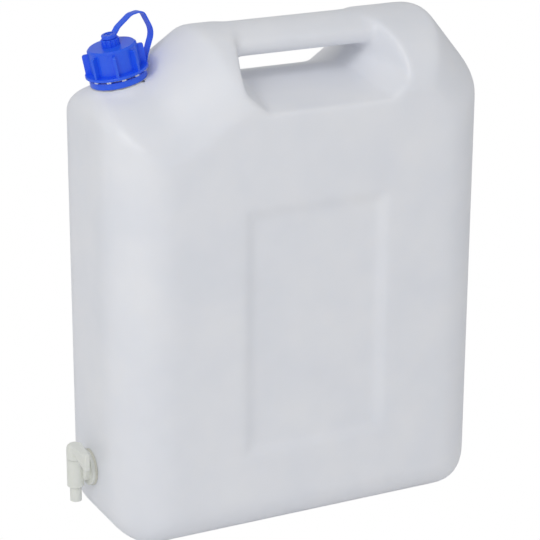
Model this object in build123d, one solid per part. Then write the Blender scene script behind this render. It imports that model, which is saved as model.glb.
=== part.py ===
from build123d import *
import os
from math import cos, sin, sqrt, tan, radians

# A 20 litre water container, blow moulded in natural polyethylene, with a tethered
# screw cap on its tilted neck and a lever tap low on one narrow side.
# Millimetres. The origin is the middle of the base, +Z is up, the broad faces look
# along -Y and +Y, and the neck and the tap are at -X.

# Container: overall size and wall
width = 360.0
depth = 158.0
height = 450.0
wall = 2.0

# Container: roundings of the tank
upright_corner_radius = 50.0
base_radius = 38.0
base_trim = 0.4                 # cut from the rounded bottom to leave a flat foot
crown_excess = 4.0              # the crown's radius is this much more than half the depth

# Container: the outline of the broad face above the tank's straight sides
shoulder_tilt = 12.1            # degrees, the flat that carries the neck
neck_from_wall = 33.4
neck_drop = 40.5                # from the top to the middle of the neck's seat
neck_slope_angle = 34.0         # degrees, from the shoulder up to the handle's level
neck_slope_from_wall = 100.5    # where that slope reaches the top
far_slope_angle = 50.5          # degrees, down to the wall away from the neck
far_slope_from_wall = 38.0
far_wall_corner_radius = 20.0
far_top_corner_radius = 13.0
near_top_corner_radius = 18.0
valley_radius = 26.0
shoulder_corner_radius = 25.0
least_corner_radius = 4.0

# Container: carrying handle and the pocket around it
handle_x = 16.0
handle_half_thickness = 30.0
handle_crown_radius = 44.0
handle_drop = 0.3               # the bar's crest lies this far under the top
handle_underside_drop = 26.0
handle_edge_radius = 9.0
pocket_floor_drop = 48.5        # in the middle of the depth
pocket_floor_half_depth = 15.0  # the flat part of the floor
pocket_floor_slope = 13.2       # degrees, down towards each broad face
pocket_throat_half_width = 63.0
pocket_inner_half_width = 74.0
pocket_mouth_half_width = 86.0
pocket_inner_depth = 30.0       # from the broad face to where the pocket narrows
pocket_foot_half_width = 60.0   # of the floor at the broad face
pocket_corner_height = 15.0     # of the sloping corner beside the floor
pocket_corner_run = 20.0

# Container: recessed panel on each broad face
panel_x = 3.0
panel_width = 140.0
panel_bottom_z = 77.5
panel_top_drop = 143.5
panel_depth = 4.0
panel_bevel = 11.0

# Container: places that follow the overall size
neck_x = neck_from_wall - width / 2
neck_z = height - neck_drop
neck_slope_x = neck_slope_from_wall - width / 2
far_slope_x = width / 2 - far_slope_from_wall
handle_underside_z = height - handle_underside_drop
pocket_floor_z = height - pocket_floor_drop
panel_top_z = height - panel_top_drop

# Neck, measured along its own axis from the shoulder
neck_bore_radius = 15.2
neck_root_radius = 17.8
neck_top = 27.0
neck_seat_radius = 25.0
neck_flare_radius = 31.0
neck_flare_depth = 8.0
neck_seat_top = 1.0
clearing_radius = 29.5          # level ground around the neck, cut into the slope
clearing_top_radius = 41.0
clearing_height = 16.0
ring_journal_radius = 21.6
lug_count = 12
lug_phase = 20.0                # degrees
lug_reach = 25.2
lug_width = 3.6
lug_bottom = 6.9
lug_top = 8.5

# Thread of neck and cap
thread_pitch = 4.0
thread_depth = 1.2
thread_root_width = 2.2
thread_crest_width = 1.2
thread_turns = 2.75
thread_clearance = 0.4
thread_start = 12.0

# Screw cap
cap_foot = 9.0
cap_top = 32.4
cap_radius = 21.3
cap_ceiling = 3.3
cap_edge_chamfer = 1.6
cap_flange_radius = 27.2
cap_flange_thickness = 2.2
rib_count = 8
rib_phase = 25.0                # degrees
rib_reach = 26.2
rib_thickness = 2.4
rib_top_gap = 3.6
rib_corner_radius = 2.0
button_radius = 8.0
button_height = 6.0
flute_count = 12
flute_radius = 1.1
stud_radius = 2.8
stud_head_radius = 3.7
stud_head_thickness = 1.1
stud_bore_radius = 1.4
stud_sink = 0.5                 # the head lies this far under the top of the tether's eye

# Sealing disc
gasket_thickness = 2.0
gasket_hole_radius = 12.0
gasket_gap = 0.1

# Tether
ring_clearance = 0.4
ring_thickness = 2.7
ring_gap = 0.3
eye_radius = 6.6
eye_thickness = 3.6
eye_gap = 0.2
eye_edge_radius = 0.7
strap_width = 7.2
strap_thickness = 1.3
strap_angle = 12.0              # degrees, the strap's plane from +X towards +Y
strap_path = [                  # distance from the neck's axis, height above the shoulder
    (5.4, 41.0),
    (10.0, 45.0),
    (24.5, 51.2),
    (36.5, 50.4),
    (42.6, 30.0),
    (31.0, 12.5),
    (27.6, 4.4),
    (23.6, 4.2),
]
strap_radii = [6.0, 10.0, 6.5, 14.0, 16.0, 2.0]

# Tap: the stem lies along X, the barrel stands upright
tap_z = 61.0
barrel_gap = 16.0               # from the container's wall to the barrel's axis
boss_radius = 19.0
boss_height = 1.2
boss_inner_radius = 17.5
boss_inner_length = 8.0
stem_radius = 13.0
stem_clearance = 0.15
stem_length = 17.0
stem_bore_radius = 8.5
washer_radius = 16.4
washer_thickness = 2.0
tap_flange_radius = 16.0
tap_flange_thickness = 2.5
shank_radius = 11.2
shank_length = 6.0
shank_chamfer = 1.5
stem_wall = 1.5                 # between the stem's wide bore and the shank's end
port_radius = 3.2
barrel_radius = 7.5
barrel_bottom_z = 44.7
barrel_top_z = 72.0
barrel_foot_chamfer = 1.6
nozzle_radius = 5.2
nozzle_bottom_z = 31.7
nozzle_bore_radius = 3.4
plug_radius = 5.3
plug_clearance = 0.05
plug_floor_z = 47.0
plug_bore_top_z = 65.5
oring_z = 69.3
oring_section_radius = 0.8
oring_groove_width = 2.0

# Tap lever
hub_gap = 0.3
hub_top_z = 86.4
hub_round = 5.0
lever_length = 30.0
lever_tip_half_width = 2.2
lever_root_half_width = 6.2
lever_tip_bottom_z = 72.0
lever_root_bottom_z = 81.0
lever_tip_thickness = 3.0
lever_nose_round = 1.6
lever_edge_round = 1.2

# Reach of the tools that cut through the walls
overrun = 10.0

os.makedirs("parts", exist_ok=True)

# Across the depth the tank's sections follow the upright corner's arc, so they are
# spaced by angle there, and evenly over the flat middle.
MIDDLE_STATIONS = (0.0, 0.4, 0.75)
CORNER_STEPS = (0, 12, 24, 36, 48, 60, 70, 80, 90)

neck_plane = Plane(
    origin=(neck_x, 0, neck_z),
    x_dir=(cos(radians(shoulder_tilt)), 0, sin(radians(shoulder_tilt))),
    z_dir=(-sin(radians(shoulder_tilt)), 0, cos(radians(shoulder_tilt))),
)


def drop_of_arc(radius, reach):
    """How far an arc of this radius has fallen away at this reach from its tangent."""
    reach = min(max(reach, 0.0), radius)
    return radius - sqrt(radius**2 - reach**2)


def meeting_point(line_a, line_b):
    """Where two lines, each given by a point and a direction, cross."""
    (point, along), (other, across) = line_a, line_b
    share = (other - point).cross(across).Z / along.cross(across).Z
    return point + along * share


def tank_corners(y, inset):
    """Corner points and radii of the broad outline at this y, moved in by inset."""
    half_depth = depth / 2 - inset
    corner = upright_corner_radius - inset
    base = base_radius - inset
    crown = depth / 2 + crown_excess - inset
    side = inset + drop_of_arc(corner, abs(y) - (half_depth - corner))
    foot = inset + drop_of_arc(base, abs(y) - (half_depth - base))
    top = inset + drop_of_arc(crown, abs(y))

    # Each line of the outline: a point, a direction with the tank on its left, an inset
    near_slope = radians(neck_slope_angle)
    far_slope = radians(far_slope_angle)
    tilt = radians(shoulder_tilt)
    edges = [
        (Vector(0, -base_trim), Vector(1, 0), foot),
        (Vector(width / 2, 0), Vector(0, 1), side),
        (Vector(far_slope_x, height), Vector(-cos(far_slope), sin(far_slope)), top),
        (Vector(0, height), Vector(-1, 0), top),
        (Vector(neck_slope_x, height), Vector(-cos(near_slope), -sin(near_slope)), top),
        (Vector(neck_x, neck_z), Vector(-cos(tilt), -sin(tilt)), top),
        (Vector(-width / 2, 0), Vector(0, -1), side),
    ]
    moved = []
    for point, along, distance in edges:
        inwards = Vector(-along.Y, along.X)
        moved.append((point + inwards * distance, along))
    points = [meeting_point(moved[i - 1], moved[i]) for i in range(len(moved))]

    # Convex corners tighten as the outline shrinks, the valley opens up
    radii = [
        base_radius - max(foot, side),
        base_radius - max(foot, side),
        far_wall_corner_radius - top,
        far_top_corner_radius - top,
        near_top_corner_radius - top,
        valley_radius + top / 2,
        shoulder_corner_radius - 0.8 * top,
    ]
    return points, [max(radius, least_corner_radius) for radius in radii]


def rounded_outline(points, radii, y):
    """A closed outline in the plane of this y, with an arc at every corner."""
    count = len(points)
    arcs = []
    for i in range(count):
        back = (points[i - 1] - points[i]).normalized()
        ahead = (points[(i + 1) % count] - points[i]).normalized()
        half_angle = radians(back.get_angle(ahead) / 2)
        reach = radii[i] / tan(half_angle)
        middle = (back + ahead).normalized() * (radii[i] / sin(half_angle) - radii[i])
        arcs.append([points[i] + back * reach, points[i] + middle, points[i] + ahead * reach])
    edges = []
    for i in range(count):
        start, middle, end = [Vector(p.X, y, p.Y) for p in arcs[i]]
        following = arcs[(i + 1) % count][0]
        edges.append(ThreePointArc(start, middle, end))
        edges.append(Line(end, Vector(following.X, y, following.Y)))
    return Face(Wire(edges))


def tank(inset):
    """The tank's solid, without pockets: one smooth skin, cut level at its foot."""
    half_depth = depth / 2 - inset
    corner = upright_corner_radius - inset
    flat = half_depth - corner
    stations = [flat * share for share in MIDDLE_STATIONS]
    stations += [flat + corner * sin(radians(step)) for step in CORNER_STEPS]
    both_sides = [-y for y in reversed(stations[1:])] + stations
    sections = [rounded_outline(*tank_corners(y, inset), y) for y in both_sides]
    ground = Pos(0, 0, inset) * Box(
        2 * width, 2 * depth, 2 * base_radius, align=(Align.CENTER, Align.CENTER, Align.MAX))
    return loft(sections) - ground


def pocket_section(y, foot_half_width, half_width, corner_run, grow):
    """Half outline of the handle's pocket at this y, mirrored about the handle's middle."""
    fall = tan(radians(pocket_floor_slope)) * (abs(y) - pocket_floor_half_depth)
    floor = pocket_floor_z - fall - grow
    top = height + overrun
    right = [
        (foot_half_width + grow, floor),
        (foot_half_width + corner_run + grow, floor + pocket_corner_height),
        (half_width + grow, handle_underside_z),
        (half_width + grow, top),
    ]
    left = [(-x, z) for x, z in reversed(right)]
    corners = [Vector(handle_x + x, y, z) for x, z in right + left]
    return Face(Wire.make_polygon(corners))


def pocket(grow):
    """What is cut away around the handle, with every wall of it moved out by grow."""
    mouth_y = depth / 2 + overrun
    inner_y = depth / 2 - pocket_inner_depth
    throat_y = pocket_floor_half_depth
    inner_foot = pocket_foot_half_width - (pocket_mouth_half_width - pocket_inner_half_width) / 2
    throat_foot = pocket_throat_half_width - pocket_corner_run / 2
    tool = None
    for side in (-1, 1):
        mouth = pocket_section(side * mouth_y, pocket_foot_half_width, pocket_mouth_half_width,
                               pocket_corner_run, grow)
        inner = pocket_section(side * inner_y, inner_foot, pocket_inner_half_width,
                               pocket_inner_half_width - inner_foot, grow)
        throat = pocket_section(side * throat_y, throat_foot, pocket_throat_half_width,
                                pocket_throat_half_width - throat_foot, grow)
        for outer, deeper in ((mouth, inner), (inner, throat)):
            piece = loft([outer, deeper], ruled=True)
            tool = piece if tool is None else tool + piece
    middle = extrude(pocket_section(throat_y, throat_foot, pocket_throat_half_width,
                                    pocket_throat_half_width - throat_foot, grow),
                     2 * throat_y, dir=(0, -1, 0))
    return tool + middle - handle_bar(grow)


def handle_bar(shrink):
    """The handle's section, run along X through the whole pocket."""
    crest = height - handle_drop - shrink
    crown = handle_crown_radius - shrink
    half = handle_half_thickness - shrink
    bottom = handle_underside_z + shrink
    block = Pos(0, (crest + bottom) / 2) * Rectangle(2 * half, crest - bottom)
    section = block & (Pos(0, crest - crown) * Circle(crown))
    feet = [v for v in section.vertices() if abs(v.Y - bottom) < 0.01]
    section = fillet(feet, handle_edge_radius - shrink)
    return Pos(handle_x, 0, 0) * extrude(Plane.YZ * section, width / 2, both=True)


def panels(grow):
    """The shallow bevelled recess of each broad face, deepened by grow."""
    middle_z = (panel_top_z + panel_bottom_z) / 2
    panel_height = panel_top_z - panel_bottom_z
    slope = panel_bevel / panel_depth
    both = None
    for side in (-1, 1):
        levels = []
        for level in (-overrun, panel_depth + grow):
            shrink = 2 * slope * (level - grow)
            face = Rectangle(panel_width - shrink, panel_height - shrink)
            levels.append(Plane(origin=(panel_x, side * (depth / 2 - level), middle_z),
                                x_dir=(1, 0, 0), z_dir=(0, side, 0)) * face)
        recess = loft([level.face() for level in levels], ruled=True)
        both = recess if both is None else both + recess
    return both


def thread_ridge(radius, direction, start, turns):
    """A helical ridge standing on a cylinder, outwards for direction 1, inwards for -1."""
    sunk = 0.3
    helix = Helix(pitch=thread_pitch, height=thread_pitch * turns, radius=radius)
    root = thread_root_width / 2
    crest = thread_crest_width / 2
    profile = Polyline((-sunk * direction, -root), (thread_depth * direction, -crest),
                       (thread_depth * direction, crest), (-sunk * direction, root), close=True)
    begin = helix @ 0
    section = Plane(origin=begin, x_dir=(1, 0, 0), z_dir=helix % 0) * make_face(profile)
    return Pos(0, 0, start) * sweep(section, path=helix, is_frenet=True)


def neck_clearing(grow):
    """The hollow cut into the slope beside the neck, moved out by grow."""
    cone = Cone(clearing_radius + grow, clearing_top_radius + grow, clearing_height + grow)
    return neck_plane * (Pos(0, 0, (clearing_height - grow) / 2) * cone)


def neck_solid():
    """Flared seat, journal for the tether's ring, locking lugs and thread."""
    flare = Pos(0, 0, neck_seat_top - neck_flare_depth / 2) * Cone(
        neck_flare_radius, neck_seat_radius, neck_flare_depth)
    journal = Pos(0, 0, lug_top / 2) * Cylinder(ring_journal_radius, lug_top)
    tube = Pos(0, 0, neck_top / 2) * Cylinder(neck_root_radius, neck_top)
    solid = flare + journal + tube
    lug_height = lug_top - lug_bottom
    for i in range(lug_count):
        lug = Pos(lug_reach / 2, 0, (lug_top + lug_bottom) / 2) * Box(lug_reach, lug_width, lug_height)
        solid += Rot(0, 0, lug_phase + i * 360 / lug_count) * lug
    return solid


def make_container():
    shell = tank(0.0) - pocket(0.0) - panels(0.0) - neck_clearing(0.0)
    inside = tank(wall) - pocket(wall) - panels(wall) - neck_clearing(wall)
    bore_length = neck_top + 2 * neck_flare_depth + wall + overrun
    bore = Pos(0, 0, neck_top - bore_length / 2 + overrun) * Cylinder(neck_bore_radius, bore_length)
    boss_face = -width / 2 - boss_height
    boss = Pos(boss_face, 0, tap_z) * Rot(0, 90, 0) * Cylinder(
        boss_radius, boss_height + wall, align=(Align.CENTER, Align.CENTER, Align.MIN))
    inner_boss = Pos(boss_face, 0, tap_z) * Rot(0, 90, 0) * Cylinder(
        boss_inner_radius, boss_height + boss_inner_length,
        align=(Align.CENTER, Align.CENTER, Align.MIN))
    tap_hole = Pos(boss_face - overrun, 0, tap_z) * Rot(0, 90, 0) * Cylinder(
        stem_radius + stem_clearance, boss_inner_length + 2 * overrun + 2 * wall,
        align=(Align.CENTER, Align.CENTER, Align.MIN))
    solid = shell + neck_plane * neck_solid()
    solid = solid - inside
    solid = solid + boss + inner_boss - tap_hole - neck_plane * bore
    ridge = thread_ridge(neck_root_radius, 1, thread_start, thread_turns)
    return solid + neck_plane * ridge


def make_cap():
    """Screw cap in the neck's frame: skirt, flange, grip ribs, fluted button and stud."""
    bore_radius = neck_root_radius + thread_depth + thread_clearance
    height_above = cap_top - cap_foot
    skirt = Pos(0, 0, cap_foot + height_above / 2) * Cylinder(cap_radius, height_above)
    skirt = chamfer(skirt.edges().group_by(Axis.Z)[-1], cap_edge_chamfer)
    flange = Pos(0, 0, cap_foot + cap_flange_thickness / 2) * Cylinder(
        cap_flange_radius, cap_flange_thickness)
    flange = fillet(flange.edges().group_by(Axis.Z)[-1], cap_flange_thickness / 3)
    solid = skirt + flange

    rib_top = cap_top - rib_top_gap
    rib_face = Pos(rib_reach / 2, (rib_top + cap_foot) / 2) * Rectangle(rib_reach, rib_top - cap_foot)
    outer_top = rib_face.vertices().sort_by(lambda v: v.X + v.Y)[-1]
    rib_face = fillet(outer_top, rib_corner_radius)
    rib = extrude(Plane.XZ * rib_face, rib_thickness / 2, both=True)
    for i in range(rib_count):
        solid += Rot(0, 0, rib_phase + i * 360 / rib_count) * rib

    button = Pos(0, 0, cap_top + button_height / 2) * Cylinder(button_radius, button_height)
    button = chamfer(button.edges().group_by(Axis.Z)[-1], flute_radius / 2)
    for i in range(flute_count):
        flute = Pos(button_radius, 0, cap_top + button_height / 2) * Cylinder(
            flute_radius, button_height)
        button -= Rot(0, 0, (i + 0.5) * 360 / flute_count) * flute
    button_top = cap_top + button_height
    stud_height = eye_gap + eye_thickness - stud_sink
    stud = Pos(0, 0, button_top + stud_height / 2) * Cylinder(stud_radius, stud_height)
    head = Pos(0, 0, button_top + stud_height - stud_head_thickness / 2) * Cylinder(
        stud_head_radius, stud_head_thickness)
    stud_bore = Pos(0, 0, button_top + stud_height / 2) * Cylinder(stud_bore_radius, stud_height)
    solid = solid + button + stud + head - stud_bore

    ceiling = cap_top - cap_ceiling
    hollow = Pos(0, 0, (ceiling + cap_foot) / 2) * Cylinder(bore_radius, ceiling - cap_foot)
    ridge = thread_ridge(bore_radius, -1, thread_start + thread_pitch / 2, thread_turns)
    return neck_plane * (solid - hollow + ridge)


def make_gasket():
    """Flat sealing ring between the neck's rim and the cap's ceiling."""
    radius = neck_root_radius + thread_depth + thread_clearance - gasket_gap
    middle = neck_top + gasket_gap + gasket_thickness / 2
    disc = Cylinder(radius, gasket_thickness) - Cylinder(gasket_hole_radius, gasket_thickness)
    return neck_plane * (Pos(0, 0, middle) * disc)


def make_tether():
    """Ring round the neck, flat strap, and eye on the cap's button, moulded in one."""
    inner = ring_journal_radius + ring_clearance
    bottom = neck_seat_top + ring_gap
    top = lug_bottom - ring_gap
    ring = Pos(0, 0, (top + bottom) / 2) * (
        Cylinder(inner + ring_thickness, top - bottom) - Cylinder(inner, top - bottom))

    eye_bottom = cap_top + button_height + eye_gap
    eye = Pos(0, 0, eye_bottom + eye_thickness / 2) * Cylinder(eye_radius, eye_thickness)
    eye = fillet(eye.edges(), eye_edge_radius)
    hole = Pos(0, 0, eye_bottom + eye_thickness / 2) * Cylinder(
        stud_radius + ring_clearance, eye_thickness)
    lip = eye_thickness - stud_sink - stud_head_thickness - eye_gap
    recess_height = eye_thickness - lip
    recess = Pos(0, 0, eye_bottom + lip + recess_height / 2) * Cylinder(
        stud_head_radius + ring_clearance, recess_height)

    line = FilletPolyline(*strap_path, radius=strap_radii)
    flat = make_face(offset(line, strap_thickness / 2, side=Side.BOTH).edges())
    strap = extrude(Plane.XZ * flat, strap_width / 2, both=True)
    strap = Rot(0, 0, strap_angle) * strap
    return neck_plane * (ring + eye + strap - hole - recess)


def make_tap_body():
    """Stem, flange and shank along X, with the upright barrel and outlet nozzle."""
    wall_face = -width / 2 - boss_height
    flange_inner = wall_face - washer_thickness
    flange_outer = flange_inner - tap_flange_thickness
    barrel_x = -width / 2 - barrel_gap
    out = Align.MAX
    along_x = lambda radius, length: Rot(0, 90, 0) * Cylinder(
        radius, length, align=(Align.CENTER, Align.CENTER, out))
    stem = Pos(wall_face + stem_length, 0, tap_z) * along_x(
        stem_radius, stem_length + washer_thickness + tap_flange_thickness)
    flange = Pos(flange_inner, 0, tap_z) * along_x(tap_flange_radius, tap_flange_thickness)
    shank = Pos(flange_outer, 0, tap_z) * along_x(shank_radius, shank_length)
    shank = chamfer(shank.faces().sort_by(Axis.X)[0].edges(), shank_chamfer)
    barrel_height = barrel_top_z - barrel_bottom_z
    barrel = Cylinder(barrel_radius, barrel_height, align=(Align.CENTER, Align.CENTER, Align.MIN))
    barrel = chamfer(barrel.edges().group_by(Axis.Z)[0], barrel_foot_chamfer)
    barrel = Pos(barrel_x, 0, barrel_bottom_z) * barrel
    nozzle = Pos(barrel_x, 0, nozzle_bottom_z) * Cylinder(
        nozzle_radius, barrel_bottom_z - nozzle_bottom_z + overrun / 2,
        align=(Align.CENTER, Align.CENTER, Align.MIN))
    solid = stem + flange + shank + barrel + nozzle

    stem_bore_end = flange_outer + stem_wall
    stem_bore = Pos(wall_face + stem_length, 0, tap_z) * along_x(
        stem_bore_radius, wall_face + stem_length - stem_bore_end)
    port = Pos(stem_bore_end, 0, tap_z) * along_x(port_radius, stem_bore_end - barrel_x)
    plug_bore = Pos(barrel_x, 0, plug_floor_z) * Cylinder(
        plug_radius, barrel_top_z - plug_floor_z, align=(Align.CENTER, Align.CENTER, Align.MIN))
    nozzle_bore = Pos(barrel_x, 0, nozzle_bottom_z) * Cylinder(
        nozzle_bore_radius, plug_floor_z - nozzle_bottom_z,
        align=(Align.CENTER, Align.CENTER, Align.MIN))
    return solid - stem_bore - port - plug_bore - nozzle_bore


def make_washer():
    """Flat sealing ring between the container's boss and the tap's flange."""
    face = -width / 2 - boss_height
    ring = Cylinder(washer_radius, washer_thickness, align=(Align.CENTER, Align.CENTER, Align.MAX))
    hole = Cylinder(stem_radius + stem_clearance, washer_thickness,
                    align=(Align.CENTER, Align.CENTER, Align.MAX))
    return Pos(face, 0, tap_z) * Rot(0, 90, 0) * (ring - hole)


def make_lever():
    """Hollow plug in the barrel, domed hub above it and the lever towards -Y."""
    shaft = plug_radius - plug_clearance
    plug_bottom = plug_floor_z + plug_clearance
    hub_bottom = barrel_top_z + hub_gap
    plug = Pos(0, 0, plug_bottom) * Cylinder(
        shaft, hub_bottom - plug_bottom, align=(Align.CENTER, Align.CENTER, Align.MIN))
    bore = Pos(0, 0, plug_bottom) * Cylinder(
        nozzle_bore_radius, plug_bore_top_z - plug_bottom,
        align=(Align.CENTER, Align.CENTER, Align.MIN))
    window = Pos(0, 0, tap_z) * Rot(-90, 0, 0) * Cylinder(
        port_radius, barrel_radius, align=(Align.CENTER, Align.CENTER, Align.MIN))
    groove = Pos(0, 0, oring_z) * (
        Cylinder(barrel_radius, oring_groove_width)
        - Cylinder(shaft - 2 * oring_section_radius, oring_groove_width))

    hub = Pos(0, 0, hub_bottom) * Cylinder(
        barrel_radius, hub_top_z - hub_bottom, align=(Align.CENTER, Align.CENTER, Align.MIN))
    hub = fillet(hub.edges().group_by(Axis.Z)[-1], hub_round)

    tip = -lever_length
    side_view = Polyline(
        (0, hub_top_z), (tip, hub_top_z), (tip, lever_tip_bottom_z),
        (tip + lever_tip_thickness, lever_tip_bottom_z),
        (-barrel_radius, lever_root_bottom_z), (0, lever_root_bottom_z), close=True)
    side_face = make_face(side_view)
    nose = side_face.vertices().sort_by(lambda v: v.X - v.Y)[0]
    side_face = fillet(nose, lever_nose_round)
    blade = extrude(Plane.YZ * side_face, barrel_radius, both=True)
    plan = make_face(Polyline(
        (-lever_root_half_width, 0), (-lever_tip_half_width, tip), (lever_tip_half_width, tip),
        (lever_root_half_width, 0), close=True))
    taper = Pos(0, 0, lever_tip_bottom_z) * extrude(plan, hub_top_z - lever_tip_bottom_z)
    blade = blade & taper
    crown = blade.edges().filter_by(lambda e: abs(e.center().Z - hub_top_z) < 0.01
                                    and e.center().Y < -0.1)
    blade = fillet(crown, lever_edge_round)
    solid = plug + hub + blade - bore - window - groove
    return Pos(-width / 2 - barrel_gap, 0, 0) * solid


def make_plug_oring():
    """O-ring in the plug's groove, just under the top of the barrel."""
    middle = plug_radius - plug_clearance - oring_section_radius
    return Pos(-width / 2 - barrel_gap, 0, oring_z) * Torus(middle, oring_section_radius)


pieces = {
    "container": make_container,
    "screw_cap": make_cap,
    "cap_gasket": make_gasket,
    "tether": make_tether,
    "tap_body": make_tap_body,
    "tap_washer": make_washer,
    "tap_lever": make_lever,
    "plug_o_ring": make_plug_oring,
}

for name, make in pieces.items():
    solid = make()
    export_step(solid, f"parts/{name}.step")
    print(name, round(solid.volume))
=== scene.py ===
# %% [markdown]
# # A water container with a tap
# The real object is a 20 litre canister, blown in one piece from natural polyethylene, with a blue
# screw cap on its tilted neck and a small tap near its foot. The frame already holds every piece
# at its true size and place. This lesson dresses it: soft blow-moulded edges on the tank, crisp
# ones on the small injection mouldings, and a material for each plastic.

# %% Load the frame
from math import cos, radians, sin

import bmesh
import bpy
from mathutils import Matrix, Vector


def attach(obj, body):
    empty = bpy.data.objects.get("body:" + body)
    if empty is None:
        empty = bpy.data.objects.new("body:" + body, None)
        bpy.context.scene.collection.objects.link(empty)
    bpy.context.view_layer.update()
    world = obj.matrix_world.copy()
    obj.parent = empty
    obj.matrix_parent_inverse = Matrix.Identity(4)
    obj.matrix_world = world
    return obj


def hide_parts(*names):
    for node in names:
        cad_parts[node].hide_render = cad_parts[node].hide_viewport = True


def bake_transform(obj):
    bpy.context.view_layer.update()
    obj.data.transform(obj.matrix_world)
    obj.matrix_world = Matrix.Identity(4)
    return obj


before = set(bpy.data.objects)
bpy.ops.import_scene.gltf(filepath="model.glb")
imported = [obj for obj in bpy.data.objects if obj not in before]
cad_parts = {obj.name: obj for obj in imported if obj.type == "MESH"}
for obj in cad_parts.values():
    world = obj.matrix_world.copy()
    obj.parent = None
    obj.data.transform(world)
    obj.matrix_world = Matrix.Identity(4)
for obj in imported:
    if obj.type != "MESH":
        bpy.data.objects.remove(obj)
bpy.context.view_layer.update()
MM = 0.001
print("nodes:", sorted(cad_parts))

# %% [markdown]
# The photograph was taken with a long lens, from a little above the tank and from its left. A
# camera fitted to the tank's outline gives the place, the angle and the lens below. The shift
# only moves the picture in its frame, because the object stands right of the photograph's centre.

# %% Camera
camera_data = bpy.data.cameras.new("camera")
camera = bpy.data.objects.new("camera", camera_data)
bpy.context.collection.objects.link(camera)
camera.location = (-0.8279, -1.6170, 0.8443)
camera.rotation_euler = (radians(90 - 19.2), 0, radians(-26.2))
camera_data.sensor_width = 36.0
camera_data.lens = 142.05
camera_data.shift_x = 0.054
camera_data.shift_y = 0.013
camera_data.clip_start = 0.05
bpy.context.scene.camera = camera
bpy.context.scene.view_settings.view_transform = "Standard"
print("camera stands", round(camera.location.length, 2), "m from the middle of the base")

# %% [markdown]
# A material starts from what the real one is. Two small helpers serve them all: one turns the
# hex colours that a painter would pick into the linear values that the renderer works in, the
# other adds a node with its settings and links.


# %% Colour and node helpers
def linear(hex_colour):
    """An sRGB colour such as #2F62E6 as linear red, green, blue and alpha."""
    channels = [int(hex_colour[i:i + 2], 16) / 255 for i in (1, 3, 5)]
    curved = [c / 12.92 if c <= 0.04045 else ((c + 0.055) / 1.055) ** 2.4 for c in channels]
    return (*curved, 1.0)


def add_node(tree, kind, settings=None, **sockets):
    """A node of this kind. A socket takes a value, or an output socket to link from."""
    node = tree.nodes.new(kind)
    for name, value in (settings or {}).items():
        setattr(node, name, value)
    for name, value in sockets.items():
        socket = node.inputs[name.replace("_", " ")]
        if isinstance(value, bpy.types.NodeSocket):
            tree.links.new(value, socket)
        else:
            socket.default_value = value
    return node


def new_material(name):
    """An empty material with an output node."""
    material = bpy.data.materials.new(name)
    material.use_nodes = True
    material.node_tree.nodes.clear()
    output = material.node_tree.nodes.new("ShaderNodeOutputMaterial")
    return material, material.node_tree, output


# %% [markdown]
# Blow-moulded polyethylene with no pigment is a milky white with a breath of blue. Light goes a
# few millimetres into it, which softens its shadows, and its skin is satin, not glossy, because
# the mould's own blasted surface prints on it. So the shader gets some subsurface light, a broad
# highlight, a fine grain from the mould and long slow waves where the wall cooled unevenly.

# %% Natural polyethylene
GRAIN = 0.9 * MM
WAVE = 55 * MM

polyethylene, tree, output = new_material("blow_moulded_polyethylene")
place = add_node(tree, "ShaderNodeTexCoord").outputs["Object"]
cloud = add_node(tree, "ShaderNodeTexNoise", Vector=place, Scale=1 / WAVE, Detail=2.0)
milky = add_node(tree, "ShaderNodeValToRGB", Fac=cloud.outputs["Fac"])
milky.color_ramp.elements[0].color = linear("#ECEEF4")
milky.color_ramp.elements[0].position = 0.3
milky.color_ramp.elements[1].color = linear("#F2F3F8")
milky.color_ramp.elements[1].position = 0.7
grain = add_node(tree, "ShaderNodeTexNoise", Vector=place, Scale=1 / GRAIN, Detail=3.0)
grain_bump = add_node(tree, "ShaderNodeBump", Height=grain.outputs["Fac"],
                      Strength=0.05, Distance=0.05 * MM)
wave_bump = add_node(tree, "ShaderNodeBump", Height=cloud.outputs["Fac"], Strength=0.35,
                     Distance=0.8 * MM, Normal=grain_bump.outputs["Normal"])
shader = add_node(tree, "ShaderNodeBsdfPrincipled", Base_Color=milky.outputs["Color"],
                  Normal=wave_bump.outputs["Normal"])
shader.inputs["Roughness"].default_value = 0.42
shader.inputs["IOR"].default_value = 1.5
shader.inputs["Subsurface Weight"].default_value = 0.35
shader.inputs["Subsurface Radius"].default_value = (1.0, 0.95, 0.9)
shader.inputs["Subsurface Scale"].default_value = 4 * MM
tree.links.new(shader.outputs["BSDF"], output.inputs["Surface"])
print("grain every", GRAIN / MM, "mm, waves every", WAVE / MM, "mm")

# %% [markdown]
# The cap and its tether are injection moulded in blue polyethylene. The polished mould leaves
# them shinier than the tank, and the colour goes right through, so edges look no lighter than
# flats. A faint unevenness in the gloss keeps the surface from looking like glass.

# %% Blue polyethylene
GLOSS_SPECK = 0.7 * MM
FLOW_MARK = 9 * MM

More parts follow.
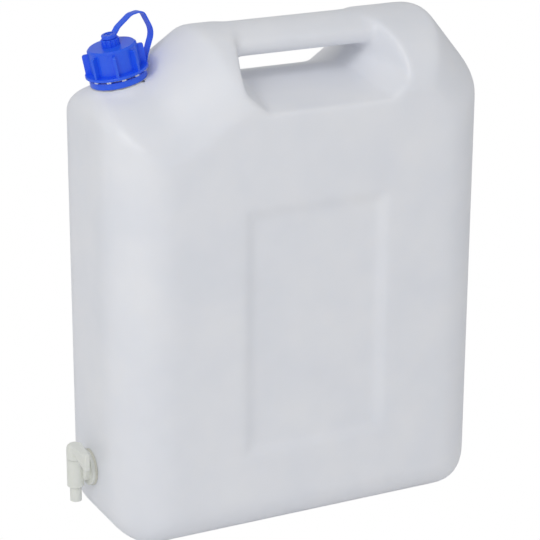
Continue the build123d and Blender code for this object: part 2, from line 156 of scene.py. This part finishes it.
blue, tree, output = new_material("moulded_blue_polyethylene")
place = add_node(tree, "ShaderNodeTexCoord").outputs["Object"]
speck = add_node(tree, "ShaderNodeTexNoise", Vector=place, Scale=1 / GLOSS_SPECK, Detail=2.0)
cloud = add_node(tree, "ShaderNodeTexNoise", Vector=place, Scale=1 / FLOW_MARK, Detail=1.0)
tint = add_node(tree, "ShaderNodeValToRGB", Fac=cloud.outputs["Fac"])
tint.color_ramp.elements[0].color = linear("#1F5AF0")
tint.color_ramp.elements[1].color = linear("#2C69F8")
gloss = add_node(tree, "ShaderNodeMapRange", Value=speck.outputs["Fac"])
gloss.inputs["To Min"].default_value = 0.24
gloss.inputs["To Max"].default_value = 0.36
bump = add_node(tree, "ShaderNodeBump", Height=speck.outputs["Fac"], Strength=0.06,
                Distance=0.04 * MM)
shader = add_node(tree, "ShaderNodeBsdfPrincipled", Base_Color=tint.outputs["Color"],
                  Roughness=gloss.outputs["Result"], Normal=bump.outputs["Normal"])
shader.inputs["IOR"].default_value = 1.5
shader.inputs["Subsurface Weight"].default_value = 0.15
shader.inputs["Subsurface Radius"].default_value = (0.3, 0.5, 1.0)
shader.inputs["Subsurface Scale"].default_value = 1.5 * MM
tree.links.new(shader.outputs["BSDF"], output.inputs["Surface"])
print("gloss specks every", GLOSS_SPECK / MM, "mm, flow marks every", FLOW_MARK / MM, "mm")

# %% [markdown]
# The tap is moulded in natural polypropylene: a greyer, slightly green white, glossier than the
# tank and a little see-through at its thin edges, so it gets a short subsurface reach.

# %% Natural polypropylene
CLOUDINESS = 6 * MM

polypropylene, tree, output = new_material("moulded_polypropylene")
place = add_node(tree, "ShaderNodeTexCoord").outputs["Object"]
cloud = add_node(tree, "ShaderNodeTexNoise", Vector=place, Scale=1 / CLOUDINESS, Detail=2.0)
tint = add_node(tree, "ShaderNodeValToRGB", Fac=cloud.outputs["Fac"])
tint.color_ramp.elements[0].color = linear("#E6E8E1")
tint.color_ramp.elements[1].color = linear("#EFF0EA")
bump = add_node(tree, "ShaderNodeBump", Height=cloud.outputs["Fac"], Strength=0.1,
                Distance=0.05 * MM)
shader = add_node(tree, "ShaderNodeBsdfPrincipled", Base_Color=tint.outputs["Color"],
                  Normal=bump.outputs["Normal"])
shader.inputs["Roughness"].default_value = 0.33
shader.inputs["IOR"].default_value = 1.49
shader.inputs["Subsurface Weight"].default_value = 0.3
shader.inputs["Subsurface Radius"].default_value = (1.0, 1.0, 0.9)
shader.inputs["Subsurface Scale"].default_value = 1.5 * MM
tree.links.new(shader.outputs["BSDF"], output.inputs["Surface"])
print("cloudy patches every", CLOUDINESS / MM, "mm")

# %% [markdown]
# The three seals are undyed silicone rubber, cream coloured, matt and a little cloudy. They hardly
# show, but the washer's edge can be seen between the tap's flange and the tank.

# %% Seal rubber
GRIT = 0.5 * MM

rubber, tree, output = new_material("moulded_seal_rubber")
place = add_node(tree, "ShaderNodeTexCoord").outputs["Object"]
grit = add_node(tree, "ShaderNodeTexNoise", Vector=place, Scale=1 / GRIT, Detail=3.0)
bump = add_node(tree, "ShaderNodeBump", Height=grit.outputs["Fac"], Strength=0.2,
                Distance=0.03 * MM)
shader = add_node(tree, "ShaderNodeBsdfPrincipled", Normal=bump.outputs["Normal"])
shader.inputs["Base Color"].default_value = linear("#D9D8CB")
shader.inputs["Roughness"].default_value = 0.7
tree.links.new(shader.outputs["BSDF"], output.inputs["Surface"])
print("grit every", GRIT / MM, "mm")


# %% [markdown]
# The small mouldings keep their CAD shape and only take their material. The seals, the cap, the
# tap and its lever have crisp edges, because they come from polished steel moulds.

# %% Dress the small pieces
FINISHES = {
    "screw_cap": blue,
    "tap_body": polypropylene,
    "tap_lever": polypropylene,
    "cap_gasket": rubber,
    "tap_washer": rubber,
    "plug_o_ring": rubber,
}
for name, finish in FINISHES.items():
    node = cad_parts[name]
    node.data.materials.clear()
    node.data.materials.append(finish)
    print(name, len(node.data.polygons), "triangles")


# %% [markdown]
# The neck leans away from the handle. Where a point lies on it is told by two lengths: how far it
# is from the neck's axis, and how high it stands along that axis above the shoulder.

# %% Measure along the neck
NECK_SEAT = Vector((-146.6, 0, 409.5)) * MM
NECK_TILT = radians(12.1)
NECK_AXIS = Vector((-sin(NECK_TILT), 0, cos(NECK_TILT)))
TAP_HOLE = Vector((-180, 0, 61)) * MM


def on_neck(point):
    """Distance from the neck's axis and height along it, both in metres."""
    height = (point - NECK_SEAT).dot(NECK_AXIS)
    return (point - NECK_SEAT - NECK_AXIS * height).length, height


def merged_copy(node_name):
    """A CAD node's mesh as a bmesh of joined faces."""
    mesh = bmesh.new()
    mesh.from_mesh(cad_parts[node_name].data)
    bmesh.ops.remove_doubles(mesh, verts=mesh.verts, dist=0.001 * MM)
    return mesh


def new_piece(name, mesh, material):
    """An object at the origin that shows this bmesh in one material."""
    data = bpy.data.meshes.new(name)
    mesh.to_mesh(data)
    mesh.free()
    data.materials.append(material)
    piece = bpy.data.objects.new(name, data)
    bpy.context.collection.objects.link(piece)
    return piece


print("the neck leans", round(NECK_AXIS.angle(Vector((0, 0, 1))) / radians(1), 1), "degrees")

# %% [markdown]
# A blown wall is pressed against the mould by air alone, so it never fills a sharp corner: every
# edge of the tank is rounded, and the handle's ends melt into the body. The skin starts as the
# tank's own outer wall. The neck goes, and so do the bore and the tap's hole, because they join
# the outer wall to the inner one. What still hangs together with the base is the outer wall.

# %% Outer wall
SEAT_HEIGHT = 1.05 * MM
SEAT_RADIUS = 26 * MM
BORE_RADIUS = 15.6 * MM
BORE_DEPTH = 30 * MM
TAP_HOLE_RADIUS = 13.4 * MM
TAP_HOLE_DEPTH = 14 * MM


def is_neck_or_hole(face):
    """Faces of the neck above its seat, of its bore, and of the tap's hole."""
    point = face.calc_center_median()
    distance, height = on_neck(point)
    above_seat = height > SEAT_HEIGHT and distance < SEAT_RADIUS
    in_bore = distance < BORE_RADIUS and height > -BORE_DEPTH
    from_tap = (point - TAP_HOLE).yz.length
    in_tap_hole = from_tap < TAP_HOLE_RADIUS and abs(point.x - TAP_HOLE.x) < TAP_HOLE_DEPTH
    return above_seat or in_bore or in_tap_hole


tank = merged_copy("container")
cut = [face for face in tank.faces if is_neck_or_hole(face)]
bmesh.ops.delete(tank, geom=cut, context="FACES")
reached = {min(tank.verts, key=lambda v: v.co.z)}
waiting = list(reached)
while waiting:
    vert = waiting.pop()
    for edge in vert.link_edges:
        other = edge.other_vert(vert)
        if other not in reached and edge.link_faces:
            reached.add(other)
            waiting.append(other)
bmesh.ops.delete(tank, geom=[v for v in tank.verts if v not in reached], context="VERTS")
rims = [edge for edge in tank.edges if edge.is_boundary]
print("outer wall:", len(tank.faces), "faces,", len(rims), "edges round its two holes")

# %% [markdown]
# The two holes are closed, and the wall is remeshed evenly and relaxed, which rounds each edge by
# a few millimetres.

# %% Tank skin
MESH_SIZE = 2.7 * MM
RELAX_STEPS = 14

bmesh.ops.holes_fill(tank, edges=rims, sides=0)
bmesh.ops.triangulate(tank, faces=[face for face in tank.faces if len(face.verts) > 4])
bmesh.ops.recalc_face_normals(tank, faces=tank.faces)
print(sum(edge.is_boundary for edge in tank.edges), "edges left open")

rough = new_piece("rough_tank", tank, polyethylene)
remesh = rough.modifiers.new("even", "REMESH")
remesh.mode = "VOXEL"
remesh.voxel_size = MESH_SIZE
relax = rough.modifiers.new("relax", "SMOOTH")
relax.factor = 0.5
relax.iterations = RELAX_STEPS
even = bmesh.new()
even.from_mesh(rough.evaluated_get(bpy.context.evaluated_depsgraph_get()).data)
bpy.data.objects.remove(rough)
for face in even.faces:
    face.smooth = True
tank_skin = new_piece("tank_skin", even, polyethylene)
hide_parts("container")
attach(tank_skin, "container")
print("tank skin:", len(tank_skin.data.polygons), "faces")

# %% [markdown]
# The neck is the one sharp part of the blown tank, because its thread and its lugs are squeezed
# between steel plates before the air goes in. It keeps its CAD shape, cut off at the shoulder.

# %% Neck
NECK_REACH = 25.6 * MM
NECK_FOOT = -3 * MM

neck_mesh = merged_copy("container")
away = []
for face in neck_mesh.faces:
    distance, height = on_neck(face.calc_center_median())
    if distance > NECK_REACH or height < NECK_FOOT:
        away.append(face)
bmesh.ops.delete(neck_mesh, geom=away, context="FACES")
loose = [edge for edge in neck_mesh.edges if edge.is_boundary]
bmesh.ops.holes_fill(neck_mesh, edges=loose, sides=0)
bmesh.ops.recalc_face_normals(neck_mesh, faces=neck_mesh.faces)
neck = new_piece("neck", neck_mesh, polyethylene)
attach(neck, "container")
print("neck:", len(neck.data.polygons), "faces")

# %% [markdown]
# The tether is one flexible moulding. Its ring stays on the neck and its eye goes up with the
# cap, so the strap between them has to stretch. Here it is a copy of its CAD mesh with joined
# faces, standing where the CAD node stood.

tether = new_piece("flexible_tether", merged_copy("tether"), blue)
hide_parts("tether")
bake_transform(tether)
print("tether:", len(tether.data.polygons), "faces")

# %% [markdown]
# The picture has a pure white ground. A large flat floor shows the camera plain white, and a matt
# near-white to every other ray, so that it still throws light back up onto the tank.

# %% Floor
FLOOR_HALF_SIZE = 6.0

floor_mesh = bpy.data.meshes.new("floor")
floor = bpy.data.objects.new("floor", floor_mesh)
bpy.context.collection.objects.link(floor)
sheet = bmesh.new()
bmesh.ops.create_grid(sheet, x_segments=1, y_segments=1, size=FLOOR_HALF_SIZE)
sheet.to_mesh(floor_mesh)
sheet.free()

ground, tree, output = new_material("white_ground")
matt = add_node(tree, "ShaderNodeBsdfDiffuse", Color=linear("#FAFAFA"))
glow = add_node(tree, "ShaderNodeEmission", Color=(1, 1, 1, 1), Strength=1.0)
rays = add_node(tree, "ShaderNodeLightPath")
mixed = add_node(tree, "ShaderNodeMixShader", Fac=rays.outputs["Is Camera Ray"])
tree.links.new(matt.outputs[0], mixed.inputs[1])
tree.links.new(glow.outputs[0], mixed.inputs[2])
tree.links.new(mixed.outputs[0], output.inputs["Surface"])
floor.data.materials.append(ground)
print("floor", 2 * FLOOR_HALF_SIZE, "m wide")

# %% [markdown]
# Behind the floor's edge the camera sees the same white. Everything else is lit by a weaker, even
# sky, as in a studio with white walls.

# %% World
SKY_STRENGTH = 0.52

world = bpy.data.worlds.new("studio")
bpy.context.scene.world = world
world.use_nodes = True
tree = world.node_tree
tree.nodes.clear()
output = tree.nodes.new("ShaderNodeOutputWorld")
fill = add_node(tree, "ShaderNodeBackground", Color=(0.98, 0.99, 1.0, 1.0),
                Strength=SKY_STRENGTH)
white = add_node(tree, "ShaderNodeBackground", Color=(1, 1, 1, 1), Strength=1.0)
rays = add_node(tree, "ShaderNodeLightPath")
choice = add_node(tree, "ShaderNodeMixShader", Fac=rays.outputs["Is Camera Ray"])
tree.links.new(fill.outputs[0], choice.inputs[1])
tree.links.new(white.outputs[0], choice.inputs[2])
tree.links.new(choice.outputs[0], output.inputs["Surface"])
print("sky strength", SKY_STRENGTH)

# %% [markdown]
# One big soft lamp stands high at the left, where the photograph's light comes from, and a weak
# one at the right keeps the far wall from going grey.


# %% Lamps
TANK_MIDDLE = Vector((0, 0, 0.24))


def soft_lamp(name, place, size, power):
    """A square area lamp that looks at the middle of the tank."""
    data = bpy.data.lights.new(name, "AREA")
    data.size = size
    data.energy = power
    lamp = bpy.data.objects.new(name, data)
    bpy.context.collection.objects.link(lamp)
    lamp.location = place
    aim = TANK_MIDDLE - Vector(place)
    lamp.rotation_euler = aim.to_track_quat("-Z", "Y").to_euler()
    print(name, "lamp:", power, "W,", size, "m wide")


soft_lamp("key", (-1.6, -1.4, 1.9), size=1.4, power=21)
soft_lamp("fill", (1.8, -1.6, 0.9), size=1.6, power=1.5)
